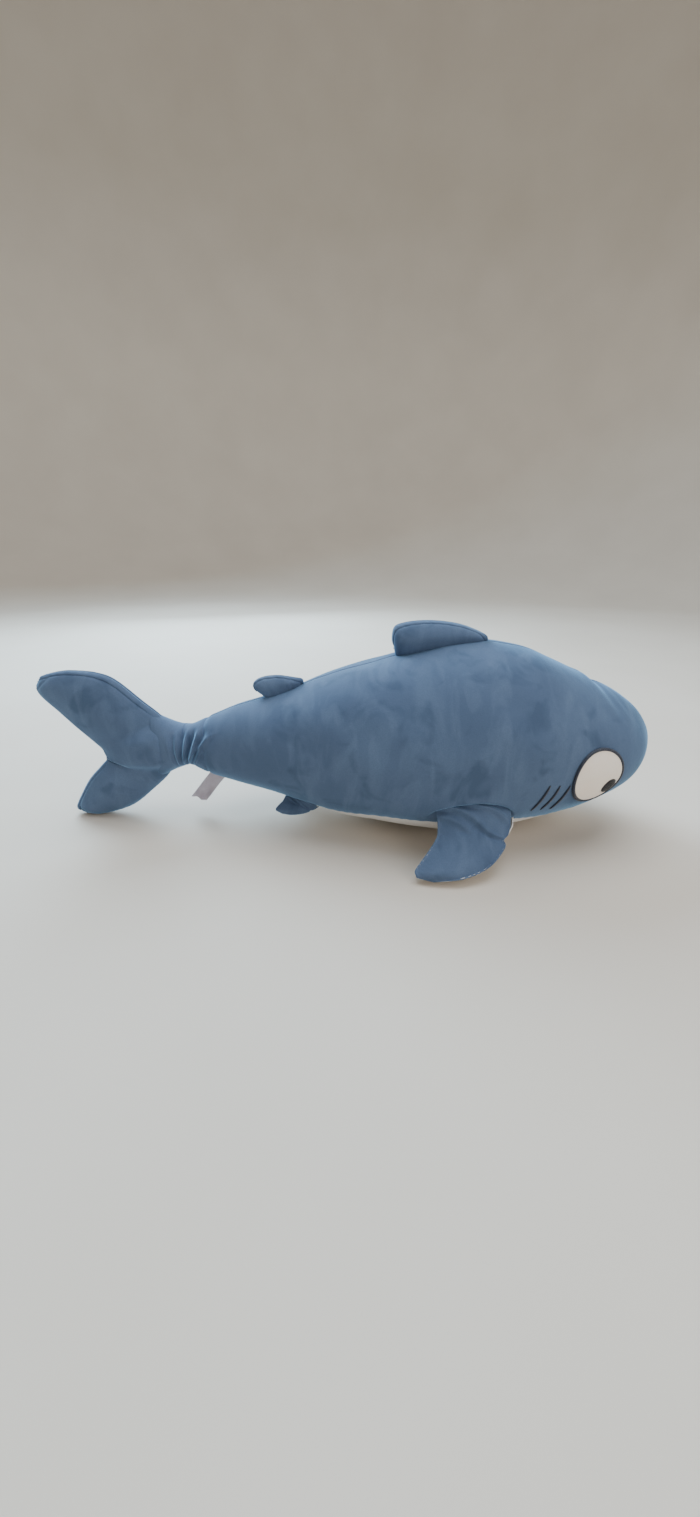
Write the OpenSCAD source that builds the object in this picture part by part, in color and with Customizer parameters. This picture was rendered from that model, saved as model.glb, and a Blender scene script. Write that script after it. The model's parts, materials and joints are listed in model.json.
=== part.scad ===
// A plush shark lying on its belly: sewn velour panels over wads of fibre fill.
// The head points to +X, the back to +Z, and the shark's right side to -Y.
// The origin is on the floor, under the middle of the whole length.

/* [Body] */
// Length of the body, from the neck of the tail to the nose
body_length = 595; // [480:5:710]
// Height of the body at its thickest, from the belly to the top of the back
body_height = 240; // [200:1:288]
// Width of the body at its thickest
body_width = 246; // [200:1:296]
// Height of the middle of the tail's neck above the floor
neck_rise = 103; // [92:1:115]
// Radius of the wad of fill in the tail's neck
neck_radius = 26; // [20:0.5:29]

/* [Tail] */
// Length of the tail fin, from the neck to the tips of its lobes
tail_length = 180; // [145:1:216]
// Height of the tail fin, from the lower tip to the upper one
tail_height = 201; // [180:1:225]
// Half the thickness of the tail fin at its fullest
tail_bulge = 20; // [14:0.5:24]

/* [Fins on the back] */
// Length of the front fin's root
dorsal_length = 110; // [85:1:132]
// Height of the front fin above the back
dorsal_height = 33; // [24:1:42]
// Half the thickness of the front fin at its root
dorsal_bulge = 17; // [12:0.5:20]
// Length of the rear fin's root
rear_dorsal_length = 48; // [38:1:58]
// Height of the rear fin above the back
rear_dorsal_height = 23; // [18:1:28]
// Half the thickness of the rear fin at its root
rear_dorsal_bulge = 8; // [6:0.5:9.5]

/* [Fins on the sides] */
// Length of each pectoral fin's root
pectoral_root = 90; // [72:1:108]
// Reach of each pectoral fin from its root
pectoral_reach = 75; // [60:1:80]
// Half the thickness of each pectoral fin
pectoral_bulge = 13; // [9:0.5:15]
// Length of each pelvic fin's root
pelvic_root = 44; // [36:1:52]
// Reach of each pelvic fin from its root
pelvic_reach = 22; // [18:1:26]
// Half the thickness of each pelvic fin
pelvic_bulge = 5; // [4:0.5:6]

/* [Face] */
// Half the length of each eye patch
eye_radius = 36.5; // [28:0.5:42]
// Width of the stitched rim round each eye
eye_rim = 3; // [2:0.5:5]
// Half the length of each pupil
pupil_radius = 9; // [6:0.5:12]
// Length of each gill stitch
gill_length = 44; // [32:1:48]
// Width of a line of satin stitch
stitch_width = 2; // [1.5:0.5:4]

/* [Fabric and gaps] */
// Thickness of the velour with its backing
fabric = 1.6; // [1:0.1:2.4]
// Height of embroidery above the velour
stitch_rise = 1.2; // [0.6:0.1:2]
// Gap between the fill and the fabric over it
fill_gap = 0.4; // [0.3:0.05:0.8]
// Gap between pieces that move against each other
joint_gap = 1.2; // [0.8:0.1:2]
// Width of the care label
label_width = 20; // [16:1:30]
// Length of the care label as it hangs, folded double
label_length = 52; // [40:1:58]
// Thickness of the care label's doubled ribbon
label_thickness = 0.8; // [0.5:0.1:1.2]

/* [Hidden] */

blue = [0.20, 0.32, 0.47];
white = [0.87, 0.85, 0.83];
navy = [0.07, 0.09, 0.15];
fill_white = [0.95, 0.95, 0.94];

// Where the body and the tail lie along X
nose_x = (body_length + tail_length) / 2;
neck_x = nose_x - body_length;
neck_reach = neck_radius + joint_gap;
rear_x = neck_x + neck_reach;
tail_root_x = neck_x - neck_reach;
torso_length = nose_x - rear_x;

// How fine the facets are
rings_per_row = 3;
back_facets = 9;
belly_facets = 8;
pad_rows = 2;
pad_facets = 8;

// ---- Curves and solids ----

// A Catmull-Rom span from b to c; a and d are the rows before and after it
function span(a, b, c, d, t) = 0.5 * (2 * b + (c - a) * t
    + (2 * a - 5 * b + 4 * c - d) * t * t
    + (3 * b - a - 3 * c + d) * t * t * t);

// The rows' value at q, from 0 to len(rows) - 1; before and after are the rows past the ends
function curve(rows, q, before, after) =
    let (i = min(floor(q), len(rows) - 2))
    span(
        i == 0 ? before : rows[i - 1], rows[i], rows[i + 1],
        i + 2 < len(rows) ? rows[i + 2] : after, q - i
    );

function mix(a, b, t) = a + (b - a) * t;
function unit(v) = v / norm(v);
function ramp(t) = let (c = min(max(t, 0), 1)) c * c * (3 - 2 * c);
function flat_list(grid) = [for (line = grid) each line];

// The two triangles of the quad a, b, c, d
function two(a, b, c, d) = [[a, b, c], [a, c, d]];

// The solid between two grids of points of the same size; wrap joins the last column to the first
module shell(outer, inner, wrap = false) {
    rows = len(outer);
    cols = len(outer[0]);
    n = rows * cols;
    last = wrap ? cols - 1 : cols - 2;
    faces = [
        for (i = [0:rows - 2], j = [0:last])
            let (a = i * cols + j, b = i * cols + (j + 1) % cols, c = b + cols, d = a + cols)
            each concat(two(a, b, c, d), two(n + a, n + d, n + c, n + b)),
        for (j = [0:last])
            let (a = j, b = (j + 1) % cols, c = (rows - 1) * cols)
            each concat(two(b, a, n + a, n + b), two(c + a, c + b, n + c + b, n + c + a)),
        if (!wrap) for (i = [0:rows - 2])
            let (a = i * cols, c = a + cols, z = cols - 1)
            each concat(two(a, c, n + c, n + a), two(a + z, n + a + z, n + c + z, c + z))
    ];
    polyhedron(points = concat(flat_list(outer), flat_list(inner)), faces = faces);
}

// The closed solid through a row of rings, with a fan over each end. The quads of the columns from
// crossed[0] to crossed[1] are split along their other diagonal, as those of a mirrored panel are.
module loft(rings, start, end, crossed = [0, -1]) {
    rows = len(rings);
    cols = len(rings[0]);
    top = (rows - 1) * cols;
    n = rows * cols;
    faces = [
        for (i = [0:rows - 2], j = [0:cols - 1])
            let (a = i * cols + j, b = i * cols + (j + 1) % cols, c = b + cols, d = a + cols)
            each j >= crossed[0] && j <= crossed[1] ? two(b, c, d, a) : two(a, b, c, d),
        for (j = [0:cols - 1]) [n, (j + 1) % cols, j],
        for (j = [0:cols - 1]) [n + 1, top + j, top + (j + 1) % cols]
    ];
    polyhedron(points = concat(flat_list(rings), [start, end]), faces = faces);
}

// ---- The body's surface ----

// Stations from the rear of the body to the nose. Each has the place along the body and the
// height of its top point and of its bottom point, then its half width, as shares of the body's
// length, height and half width, then the angle of the seam between back and belly.
body_shares = [
    [0.000, 0.580, 0.000, 0.275, 0.28, -88],
    [0.092, 0.660, 0.092, 0.208, 0.44, -82],
    [0.199, 0.753, 0.199, 0.138, 0.62, -66],
    [0.323, 0.855, 0.323, 0.060, 0.80, -51],
    [0.454, 0.943, 0.454, 0.004, 0.94, -42],
    [0.577, 0.994, 0.577, -0.018, 1.00, -40],
    [0.683, 0.978, 0.674, 0.003, 0.97, -43],
    [0.763, 0.906, 0.752, 0.048, 0.88, -54],
    [0.850, 0.806, 0.832, 0.100, 0.77, -66],
    [0.922, 0.728, 0.897, 0.165, 0.63, -74],
    [0.970, 0.640, 0.952, 0.280, 0.42, -80],
    [1.000, 0.485, 1.000, 0.485, 0.00, -86]
];
nose_row = len(body_shares) - 1;
nose_end = nose_row - 0.03;
half_width = body_width / 2;
neck_lift = neck_rise - body_height * (body_shares[0][1] + body_shares[0][3]) / 2;

// The neck's own height fades into the body's by the fourth station
function lift(share) = neck_lift * (1 - ramp(share / body_shares[3][0]));
body_rows = [for (s = body_shares) [
    rear_x + s[0] * torso_length, body_height * s[1] + lift(s[0]),
    rear_x + s[2] * torso_length, body_height * s[3] + lift(s[2]),
    half_width * s[4], s[5]
]];

// Past the nose the outline runs on round it, so the top and bottom rows change places
before_nose = body_rows[nose_row - 1];
past_nose = [
    before_nose[2], before_nose[3], before_nose[0], before_nose[1],
    -before_nose[4], before_nose[5]
];
function section(q) = curve(body_rows, q, 2 * body_rows[0] - body_rows[1], past_nose);
function seam(q) = min(max(section(q)[5], -89), -30);

// The point of the skin at station q and at an angle from the side: 90 is the top, -90 the bottom.
// It is on the right side, and inset goes inwards.
function skin(q, angle, inset = 0) =
    let (
        s = section(q),
        half = [s[0] - s[2], s[1] - s[3]] / 2,
        h = norm(half),
        keep = max(h - inset, 0.4 * h) / h,
        w = max(s[4] - inset, 0.4 * s[4]),
        back = inset * ramp((q - nose_row + 2) / 2)
    )
    [
        (s[0] + s[2]) / 2 - back + half[0] * keep * sin(angle),
        -w * cos(angle),
        max((s[1] + s[3]) / 2 + half[1] * keep * sin(angle), inset)
    ];

// The station whose middle is at x, by halving
function station_at(x, low = 0, high = nose_row, n = 24) =
    let (m = (low + high) / 2, s = section(m))
    n == 0 ? m : (s[0] + s[2]) / 2 < x ? station_at(x, m, high, n - 1) : station_at(x, low, m, n - 1);
function back_height(x) = skin(station_at(x), 90)[2];

// The stations of the rings, closer together at the nose
ring_stations = concat(
    [for (i = [0:rings_per_row * (nose_row - 1)]) i / rings_per_row],
    [for (share = [0.3, 0.55, 0.75, 0.9, 1]) mix(nose_row - 1, nose_end, share)]
);
belly_start = 0.3;
belly_end = nose_row - 0.4;
belly_stations = [for (q = ring_stations) if (q >= belly_start && q <= belly_end) q];

// The angles round the skin of one back panel and of the belly
function back_angles(q) = [for (j = [0:back_facets]) mix(seam(q), 90, j / back_facets)];
function belly_angles(q) = [for (j = [0:belly_facets]) mix(-180 - seam(q), seam(q), j / belly_facets)];

module back_panel() {
    function lines(inset) = [for (q = ring_stations) [for (a = back_angles(q)) skin(q, a, inset)]];
    color(blue) shell(lines(0), lines(fabric));
}

module belly_panel() {
    function lines(inset) = [for (q = belly_stations) [for (a = belly_angles(q)) skin(q, a, inset)]];
    color(white) shell(lines(0), lines(fabric));
}

module body_stuffing() {
    inset = fabric + fill_gap;
    rings = [for (q = ring_stations)
        let (back = back_angles(q), belly = belly_angles(q))
        [
            for (j = [0:back_facets - 1]) skin(q, back[j], inset),
            for (j = [0:back_facets - 1]) skin(q, 180 - back[back_facets - j], inset),
            for (j = [0:belly_facets - 1]) skin(q, belly[j], inset)
        ]
    ];
    tip = skin(nose_end, 0, inset);
    first = section(0);
    color(fill_white) loft(
        rings, [rear_x, 0, (first[1] + first[3]) / 2], [tip[0] + fill_gap, 0, tip[2]],
        crossed = [back_facets, 2 * back_facets - 1]
    );
}

// ---- Patches and stitches that lie on the skin ----

// Millimetres a station and millimetres a degree, at a point of the skin
function per_station(q, angle) = norm(skin(q + 0.05, angle) - skin(q - 0.05, angle)) / 0.1;
function per_degree(q, angle) = norm(skin(q, angle + 1) - skin(q, angle - 1)) / 2;

// A point of the skin a given way forwards and upwards of another, raised above it
function beside(at, forward, up, rise) = skin(
    at[0] + forward / per_station(at[0], at[1]), at[1] + up / per_degree(at[0], at[1]), -rise
);
function turned(v, angle) = [
    v[0] * cos(angle) - v[1] * sin(angle), v[0] * sin(angle) + v[1] * cos(angle)
];

patch_sides = 32;
rest_gap = 0.15;

// Rings of points round an oval on the skin, at each share of its radii
function oval(at, radii, tilt, shares, rise) = [for (k = shares) [
    for (j = [0:patch_sides - 1])
        let (v = turned([radii[0] * k * cos(360 * j / patch_sides),
                         radii[1] * k * sin(-360 * j / patch_sides)], tilt))
        beside(at, v[0], v[1], rise)
]];

module oval_disc(at, radii, tilt, low, high) {
    shares = [1, 0.75, 0.5, 0.25];
    low_rings = oval(at, radii, tilt, shares, low);
    high_rings = oval(at, radii, tilt, shares, high);
    ends = len(shares) - 1;
    loft(
        concat(
            [for (i = [0:ends]) low_rings[ends - i]], [for (i = [0:ends]) high_rings[i]]
        ),
        beside(at, 0, 0, low), beside(at, 0, 0, high)
    );
}

eye_at = [7.94, -6];
eye_tilt = 95;
eye_radii = [eye_radius, eye_radius * 0.92];
eye_inner = 1 - eye_rim / eye_radius;
pupil_tilt = 60;
pupil_shift = [0.45, -0.32] * eye_radius;
pupil_place = [
    eye_at[0] + pupil_shift[0] / per_station(eye_at[0], eye_at[1]),
    eye_at[1] + pupil_shift[1] / per_degree(eye_at[0], eye_at[1])
];

module eye_white() {
    color(white) oval_disc(eye_at, eye_radii * (eye_inner - 0.01), eye_tilt, rest_gap, stitch_rise);
}

module eye_rim() {
    shares = [1, (1 + eye_inner) / 2, eye_inner];
    color(navy) shell(
        oval(eye_at, eye_radii, eye_tilt, shares, stitch_rise * 1.3),
        oval(eye_at, eye_radii, eye_tilt, shares, rest_gap), wrap = true
    );
}

module pupil() {
    color(navy) oval_disc(
        pupil_place, [pupil_radius, pupil_radius * 0.7], pupil_tilt,
        stitch_rise + rest_gap, stitch_rise * 2
    );
}

// A raised line of stitches through points given as [station, angle]
module stitched_line(points, width) {
    last = len(points) - 1;
    function edge(i, side, rise) =
        let (
            a = points[max(i - 1, 0)], b = points[min(i + 1, last)], at = points[i],
            way = unit([
                (b[0] - a[0]) * per_station(at[0], at[1]), (b[1] - a[1]) * per_degree(at[0], at[1])
            ])
        )
        beside(at, -way[1] * width / 2 * side, way[0] * width / 2 * side, rise);
    function lines(rise) = [for (i = [0:last]) [for (s = [-1, 0, 1]) edge(i, s, rise)]];
    shell(lines(stitch_rise), lines(rest_gap));
}

gill_count = 3;
gill_at = [6.46, -20];
gill_spacing = 0.3;
gill_lean = 75;
gill_points = 5;

module gill_stitches() {
    for (k = [0:gill_count - 1]) {
        at = [gill_at[0] + k * gill_spacing, gill_at[1] - 1.3 * k];
        scales = [per_station(at[0], at[1]), per_degree(at[0], at[1])];
        color(navy) stitched_line([
            for (i = [0:gill_points])
                let (way = gill_length * (i / gill_points - 0.5))
                [at[0] + way * cos(gill_lean) / scales[0], at[1] + way * sin(gill_lean) / scales[1]]
        ], stitch_width);
    }
}

// ---- Stuffed fins ----

// A fin is a pad between two edges. Each row has a point of one edge and of the other, in the
// fin's own plane, then the half thickness between them. A fin that is thick at its first edge
// has the half thickness there too.
// A place is the plane: its origin, its two directions and its normal.
seam_edge = 0.8;
pad_power = 0.6;
function pad_row(rows, q) = curve(
    rows, q, 2 * rows[0] - rows[1], 2 * rows[len(rows) - 1] - rows[len(rows) - 2]
);
function pad_half(row, u) =
    seam_edge + max(row[4], 0.5) * pow(max(sin(180 * u), 0), pad_power)
    + (len(row) > 5 ? max(row[5], 0) * (1 - u) : 0);
function pad_point(place, row, u, h) =
    place[0] + mix(row[0], row[2], u) * place[1] + mix(row[1], row[3], u) * place[2] + h * place[3];
function pad_stations(rows) = [
    for (i = [0:pad_rows * (len(rows) - 1)]) i / pad_rows
];

// One fabric side of a fin; side is 1 on the normal's side and -1 on the other
module pad_panel(rows, place, side) {
    function lines(thin, floor) = [for (q = pad_stations(rows)) let (row = pad_row(rows, q)) [
        for (j = [0:pad_facets])
            let (u = j / pad_facets)
            pad_point(place, row, u, side * max(pad_half(row, u) - thin, floor))
    ]];
    if (side > 0) shell(lines(0, 0), lines(fabric, 0.02));
    else shell(lines(fabric, 0.02), lines(0, 0));
}

// The fill of a fin: it keeps clear of the fabric and of the seams round it
module pad_fill(rows, place) {
    stations = pad_stations(rows);
    function lines(side) = [for (i = [1:len(stations) - 2]) let (row = pad_row(rows, stations[i])) [
        for (j = [1:pad_facets - 1])
            let (u = j / pad_facets)
            pad_point(place, row, u, side * (pad_half(row, u) - fabric - fill_gap))
    ]];
    shell(lines(1), lines(-1));
}

// The upright plane through the middle, with its normal to the shark's right
middle_plane = [[0, 0, 0], [1, 0, 0], [0, 0, 1], [0, -1, 0]];

// Rows of the tail fin, from the tip of its lower lobe to the tip of its upper lobe, as shares of
// its length and height. The first edge runs by the neck and the second by the notch.
tail_shares = [
    [0.860, 0.010, 0.905, 0.045, 0.04, 0],
    [0.660, 0.010, 0.840, 0.130, 0.60, 0],
    [0.400, 0.070, 0.725, 0.260, 0.82, 0],
    [0.190, 0.190, 0.610, 0.350, 0.92, 0],
    [0.000, 0.330, 0.545, 0.400, 0.80, 0],
    [0.000, 0.430, 0.535, 0.420, 0.66, 0.92],
    [0.000, 0.512, 0.540, 0.445, 0.62, 1.10],
    [0.000, 0.600, 0.560, 0.490, 0.66, 0.92],
    [0.000, 0.690, 0.620, 0.545, 0.84, 0],
    [0.150, 0.800, 0.725, 0.635, 0.92, 0],
    [0.395, 0.962, 0.845, 0.740, 0.82, 0],
    [0.690, 1.000, 0.960, 0.840, 0.56, 0],
    [0.935, 0.972, 1.000, 0.910, 0.04, 0]
];
tail_reach = tail_length - neck_reach;
tail_rows = [for (s = tail_shares) [
    tail_root_x - tail_reach * s[0], tail_height * s[1],
    tail_root_x - tail_reach * s[2], tail_height * s[3],
    tail_bulge * s[4], tail_bulge * s[5]
]];

// Rows of a fin on the back, from its rear edge to its front: the root's place, the free edge's
// place and its height above the back, then its share of the bulge.
dorsal_shares = [
    [0.00, -0.04, 0.50, 0.04],
    [0.05, -0.02, 0.92, 0.62],
    [0.13, 0.06, 1.00, 0.90],
    [0.30, 0.24, 0.95, 1.00],
    [0.50, 0.46, 0.79, 0.95],
    [0.70, 0.68, 0.57, 0.75],
    [0.87, 0.86, 0.33, 0.55],
    [1.00, 1.00, 0.12, 0.04]
];
rear_dorsal_shares = [
    [0.00, -0.25, 0.50, 0.04],
    [0.06, -0.28, 0.85, 0.75],
    [0.16, -0.19, 1.00, 1.00],
    [0.33, 0.02, 1.00, 1.00],
    [0.55, 0.36, 0.80, 0.85],
    [0.78, 0.73, 0.42, 0.60],
    [1.00, 1.00, 0.14, 0.04]
];
dorsal_x = rear_x + 0.427 * torso_length;
rear_dorsal_x = rear_x + 0.141 * torso_length;
function back_fin(shares, x, length, height, bulge) = [for (s = shares)
    let (root = x + s[0] * length, free = x + s[1] * length)
    [
        root, back_height(root) + joint_gap,
        free, back_height(free) + joint_gap + s[2] * height,
        bulge * s[3]
    ]
];
dorsal_rows = back_fin(dorsal_shares, dorsal_x, dorsal_length, dorsal_height, dorsal_bulge);
rear_dorsal_rows = back_fin(
    rear_dorsal_shares, rear_dorsal_x, rear_dorsal_length, rear_dorsal_height, rear_dorsal_bulge
);

// Rows of a fin on the side, from its root to its tip, as shares of its root and its reach.
// The first edge is the rear one.
pectoral_shares = [
    [-0.49, 0.00, 0.49, 0.00, 0.05],
    [-0.48, 0.05, 0.48, 0.05, 0.72],
    [-0.48, 0.15, 0.46, 0.15, 1.00],
    [-0.53, 0.33, 0.37, 0.33, 0.85],
    [-0.65, 0.54, 0.30, 0.53, 0.70],
    [-0.76, 0.71, 0.08, 0.80, 0.62],
    [-0.83, 0.83, -0.25, 0.96, 0.50],
    [-0.81, 0.92, -0.60, 0.99, 0.04]
];
pelvic_shares = [
    [-0.50, 0.00, 0.52, 0.00, 0.04],
    [-0.56, 0.28, 0.37, 0.32, 0.95],
    [-0.63, 0.55, 0.12, 0.68, 1.00],
    [-0.68, 0.80, -0.20, 0.93, 0.85],
    [-0.66, 0.93, -0.46, 1.00, 0.04]
];
function side_fin(shares, root, reach, bulge) = [for (s = shares) [
    root * s[0], reach * s[1], root * s[2], reach * s[3], bulge * s[4]
]];
pectoral_rows = side_fin(pectoral_shares, pectoral_root, pectoral_reach, pectoral_bulge);
pelvic_rows = side_fin(pelvic_shares, pelvic_root, pelvic_reach, pelvic_bulge);

// A fin's plane on the right side, an angle above the seam, leaning down from the level
function side_plane(x, above, droop) =
    let (
        q = station_at(x),
        angle = seam(q) + above,
        along = unit(skin(q + 0.2, angle) - skin(q - 0.2, angle)),
        down = [0, -cos(droop), -sin(droop)],
        out = unit(down - (down * along) * along)
    )
    [skin(q, angle) + joint_gap * out, along, out, cross(out, along)];

// The pectoral fins lean down until their tips are just clear of the floor
pectoral_x = rear_x + 0.586 * torso_length;
pectoral_above = 8;
pectoral_tip_rise = 7.3;
pectoral_station = station_at(pectoral_x);
pectoral_drop = skin(pectoral_station, seam(pectoral_station) + pectoral_above)[2] - pectoral_tip_rise;
pectoral_droop = asin(pectoral_drop / (pectoral_reach + joint_gap));
pectoral_plane = side_plane(pectoral_x, pectoral_above, pectoral_droop);
pelvic_plane = side_plane(rear_x + 0.221 * torso_length, 4, 50);

module fin_fill(rows, place) {
    color(fill_white) pad_fill(rows, place);
}

module fin_panel(rows, place, side, tint) {
    color(tint) pad_panel(rows, place, side);
}

// ---- The neck of the tail ----

module neck_wad() {
    color(fill_white) translate([neck_x, 0, neck_rise]) sphere(r = neck_radius, $fn = 48);
}

neck_facets = 20;
neck_waist = (neck_radius + fill_gap) / cos(180 / neck_facets) + fabric;
module neck_cover() {
    front = section(0);
    tail_half = tail_height * (tail_shares[8][1] - tail_shares[4][1]) / 2;
    tail_mid = tail_height * (tail_shares[8][1] + tail_shares[4][1]) / 2;
    // Each row: x, middle height, half height, half width
    hoops = [
        [rear_x - joint_gap / 2, (front[1] + front[3]) / 2, (front[1] - front[3]) / 2, front[4]],
        [mix(rear_x, neck_x, 0.55), neck_rise, neck_waist + 1.5, neck_waist + 1],
        [neck_x, neck_rise, neck_waist, neck_waist],
        [mix(tail_root_x, neck_x, 0.45), neck_rise, neck_waist + 1.5, neck_waist + 0.5],
        [tail_root_x + joint_gap / 2, tail_mid, tail_half, neck_waist]
    ];
    function lines(inset) = [for (h = hoops) [
        for (j = [0:neck_facets - 1])
            let (angle = 360 * j / neck_facets)
            [h[0], -(h[3] - inset) * cos(angle), h[1] + (h[2] - inset) * sin(angle)]
    ]];
    color(blue) shell(lines(fabric), lines(0), wrap = true);
}

// ---- The care label ----

label_lean = 39;
module care_label() {
    front = skin(station_at(rear_x + label_width), -90) - [0, 0, joint_gap];
    back = skin(0, -90) - [0, 0, joint_gap];
    way = label_length * [-sin(label_lean), -cos(label_lean)];
    top = [[back[0], back[2]], [front[0], front[2]]];
    color(white) rotate([90, 0, 0])
        linear_extrude(label_thickness, center = true)
            polygon([top[0], top[0] + way, top[1] + way, top[1]]);
}

body_stuffing();
back_panel();  // back_panel_right
mirror([0, 1, 0]) back_panel();  // back_panel_left
belly_panel();
eye_white();  // eye_white_right
mirror([0, 1, 0]) eye_white();  // eye_white_left
eye_rim();  // eye_rim_right
mirror([0, 1, 0]) eye_rim();  // eye_rim_left
pupil();  // pupil_right
mirror([0, 1, 0]) pupil();  // pupil_left
gill_stitches();  // gill_stitches_right
mirror([0, 1, 0]) gill_stitches();  // gill_stitches_left
neck_wad();
neck_cover();
fin_fill(tail_rows, middle_plane);  // tail_stuffing
fin_panel(tail_rows, middle_plane, 1, blue);  // tail_panel_right
fin_panel(tail_rows, middle_plane, -1, blue);  // tail_panel_left
fin_fill(dorsal_rows, middle_plane);  // dorsal_stuffing
fin_panel(dorsal_rows, middle_plane, 1, blue);  // dorsal_panel_right
fin_panel(dorsal_rows, middle_plane, -1, blue);  // dorsal_panel_left
fin_fill(rear_dorsal_rows, middle_plane);  // rear_dorsal_stuffing
fin_panel(rear_dorsal_rows, middle_plane, 1, blue);  // rear_dorsal_panel_right
fin_panel(rear_dorsal_rows, middle_plane, -1, blue);  // rear_dorsal_panel_left
fin_fill(pectoral_rows, pectoral_plane);  // pectoral_right_stuffing
fin_panel(pectoral_rows, pectoral_plane, 1, blue);  // pectoral_right_top
fin_panel(pectoral_rows, pectoral_plane, -1, white);  // pectoral_right_underside
mirror([0, 1, 0]) fin_fill(pectoral_rows, pectoral_plane);  // pectoral_left_stuffing
mirror([0, 1, 0]) fin_panel(pectoral_rows, pectoral_plane, 1, blue);  // pectoral_left_top
mirror([0, 1, 0]) fin_panel(pectoral_rows, pectoral_plane, -1, white);  // pectoral_left_underside
fin_fill(pelvic_rows, pelvic_plane);  // pelvic_right_stuffing
fin_panel(pelvic_rows, pelvic_plane, 1, blue);  // pelvic_right_top
fin_panel(pelvic_rows, pelvic_plane, -1, blue);  // pelvic_right_underside
mirror([0, 1, 0]) fin_fill(pelvic_rows, pelvic_plane);  // pelvic_left_stuffing
mirror([0, 1, 0]) fin_panel(pelvic_rows, pelvic_plane, 1, blue);  // pelvic_left_top
mirror([0, 1, 0]) fin_panel(pelvic_rows, pelvic_plane, -1, blue);  // pelvic_left_underside
care_label();
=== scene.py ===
"""A plush shark: velour panels, stuffed fins, embroidery and a ribbon label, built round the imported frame.

Units are metres. The head points to +X, the back to +Z, and the shark's right side to -Y.
A surface is a grid of points, rows by columns by XYZ, and each panel is a grid with a thickness.
"""

import json
import math

import bpy
import numpy as np
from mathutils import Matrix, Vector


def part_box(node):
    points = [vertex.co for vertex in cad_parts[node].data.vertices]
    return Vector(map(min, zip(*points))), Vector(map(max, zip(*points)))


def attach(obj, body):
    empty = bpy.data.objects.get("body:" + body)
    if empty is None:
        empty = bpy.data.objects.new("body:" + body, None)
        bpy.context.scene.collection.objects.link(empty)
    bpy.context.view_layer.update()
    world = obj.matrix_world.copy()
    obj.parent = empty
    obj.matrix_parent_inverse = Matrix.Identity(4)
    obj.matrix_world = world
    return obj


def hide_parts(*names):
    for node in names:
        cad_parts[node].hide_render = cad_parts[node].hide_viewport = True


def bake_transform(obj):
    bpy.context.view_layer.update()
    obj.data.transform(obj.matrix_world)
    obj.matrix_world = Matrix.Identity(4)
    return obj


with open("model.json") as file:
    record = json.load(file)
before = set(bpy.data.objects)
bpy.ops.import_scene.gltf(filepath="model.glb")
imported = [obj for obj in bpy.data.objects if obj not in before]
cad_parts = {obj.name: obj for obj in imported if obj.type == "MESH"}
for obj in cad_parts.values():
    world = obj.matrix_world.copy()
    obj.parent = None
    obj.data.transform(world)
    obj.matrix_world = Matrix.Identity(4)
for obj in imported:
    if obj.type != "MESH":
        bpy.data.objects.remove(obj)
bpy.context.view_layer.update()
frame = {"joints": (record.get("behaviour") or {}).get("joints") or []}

MM = 0.001
JOINTS = {joint["name"]: joint for joint in frame["joints"]}


# ---------------------------------------------------------------- sizes from the frame


def corner(node, end, axis):
    """One coordinate of a CAD node's box; end is 0 for the lowest corner and 1 for the highest."""
    return float(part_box(node)[end][axis])


REAR_X = corner("body_stuffing", 0, 0)
NOSE_X = corner("back_panel_right", 1, 0)
BACK_TOP = corner("back_panel_right", 1, 2)
HALF_WIDTH = -corner("back_panel_right", 0, 1)
PIVOT = np.array(JOINTS["tail_swing"]["pos_m"], float)
NECK_RADIUS = (corner("neck_wad", 1, 2) - corner("neck_wad", 0, 2)) / 2
TAIL_ROOT_X = 2 * PIVOT[0] - REAR_X
TAIL_TIP_X = corner("tail_panel_right", 0, 0)
TAIL_TOP = corner("tail_panel_right", 1, 2)
TORSO_LENGTH = NOSE_X - REAR_X

FABRIC = 1.4 * MM
SIDES = ("right", "left")
MIRRORED = (("right", False), ("left", True))


# ---------------------------------------------------------------- curves and noise


def spline(rows, q, before, after):
    """Catmull-Rom through the rows, at each q from 0 to len(rows) - 1."""
    rows = np.vstack([before, rows, after])
    q = np.clip(np.asarray(q, float), 0, len(rows) - 3)
    i = np.minimum(q.astype(int), len(rows) - 4)
    t = (q - i)[..., None]
    a, b, c, d = rows[i], rows[i + 1], rows[i + 2], rows[i + 3]
    return 0.5 * (
        2 * b
        + (c - a) * t
        + (2 * a - 5 * b + 4 * c - d) * t**2
        + (3 * b - a - 3 * c + d) * t**3
    )


def open_spline(rows, q):
    """Catmull-Rom through the rows, running straight on past both ends."""
    rows = np.asarray(rows, float)
    return spline(rows, q, 2 * rows[0] - rows[1], 2 * rows[-1] - rows[-2])


def highest(rows, column):
    """The highest value that a column reaches anywhere along the curve through the rows."""
    return float(open_spline(rows, np.linspace(0, len(rows) - 1, 2000))[:, column].max())


def ramp(x, low=0.0, high=1.0):
    """A smooth step from 0 at low to 1 at high."""
    t = np.clip((np.asarray(x, float) - low) / (high - low), 0, 1)
    return t * t * (3 - 2 * t)


def bell(x, width):
    """A bell curve, 1 at 0 and about a third at the given width."""
    return np.exp(-((x / width) ** 2))


def waves(points, length, seed, count=7):
    """Smooth noise from -1 to 1 with a given wavelength: plane waves in fixed directions."""
    rng = np.random.default_rng(seed)
    total = 0
    for _ in range(count):
        way = rng.normal(size=3)
        way *= rng.uniform(0.6, 1.5) / np.linalg.norm(way)
        total = total + np.sin(points @ way * (2 * math.pi / length) + rng.uniform(0, 6.28))
    return total / math.sqrt(count)


def unit(v):
    return v / np.maximum(np.linalg.norm(v, axis=-1, keepdims=True), 1e-12)


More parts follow.
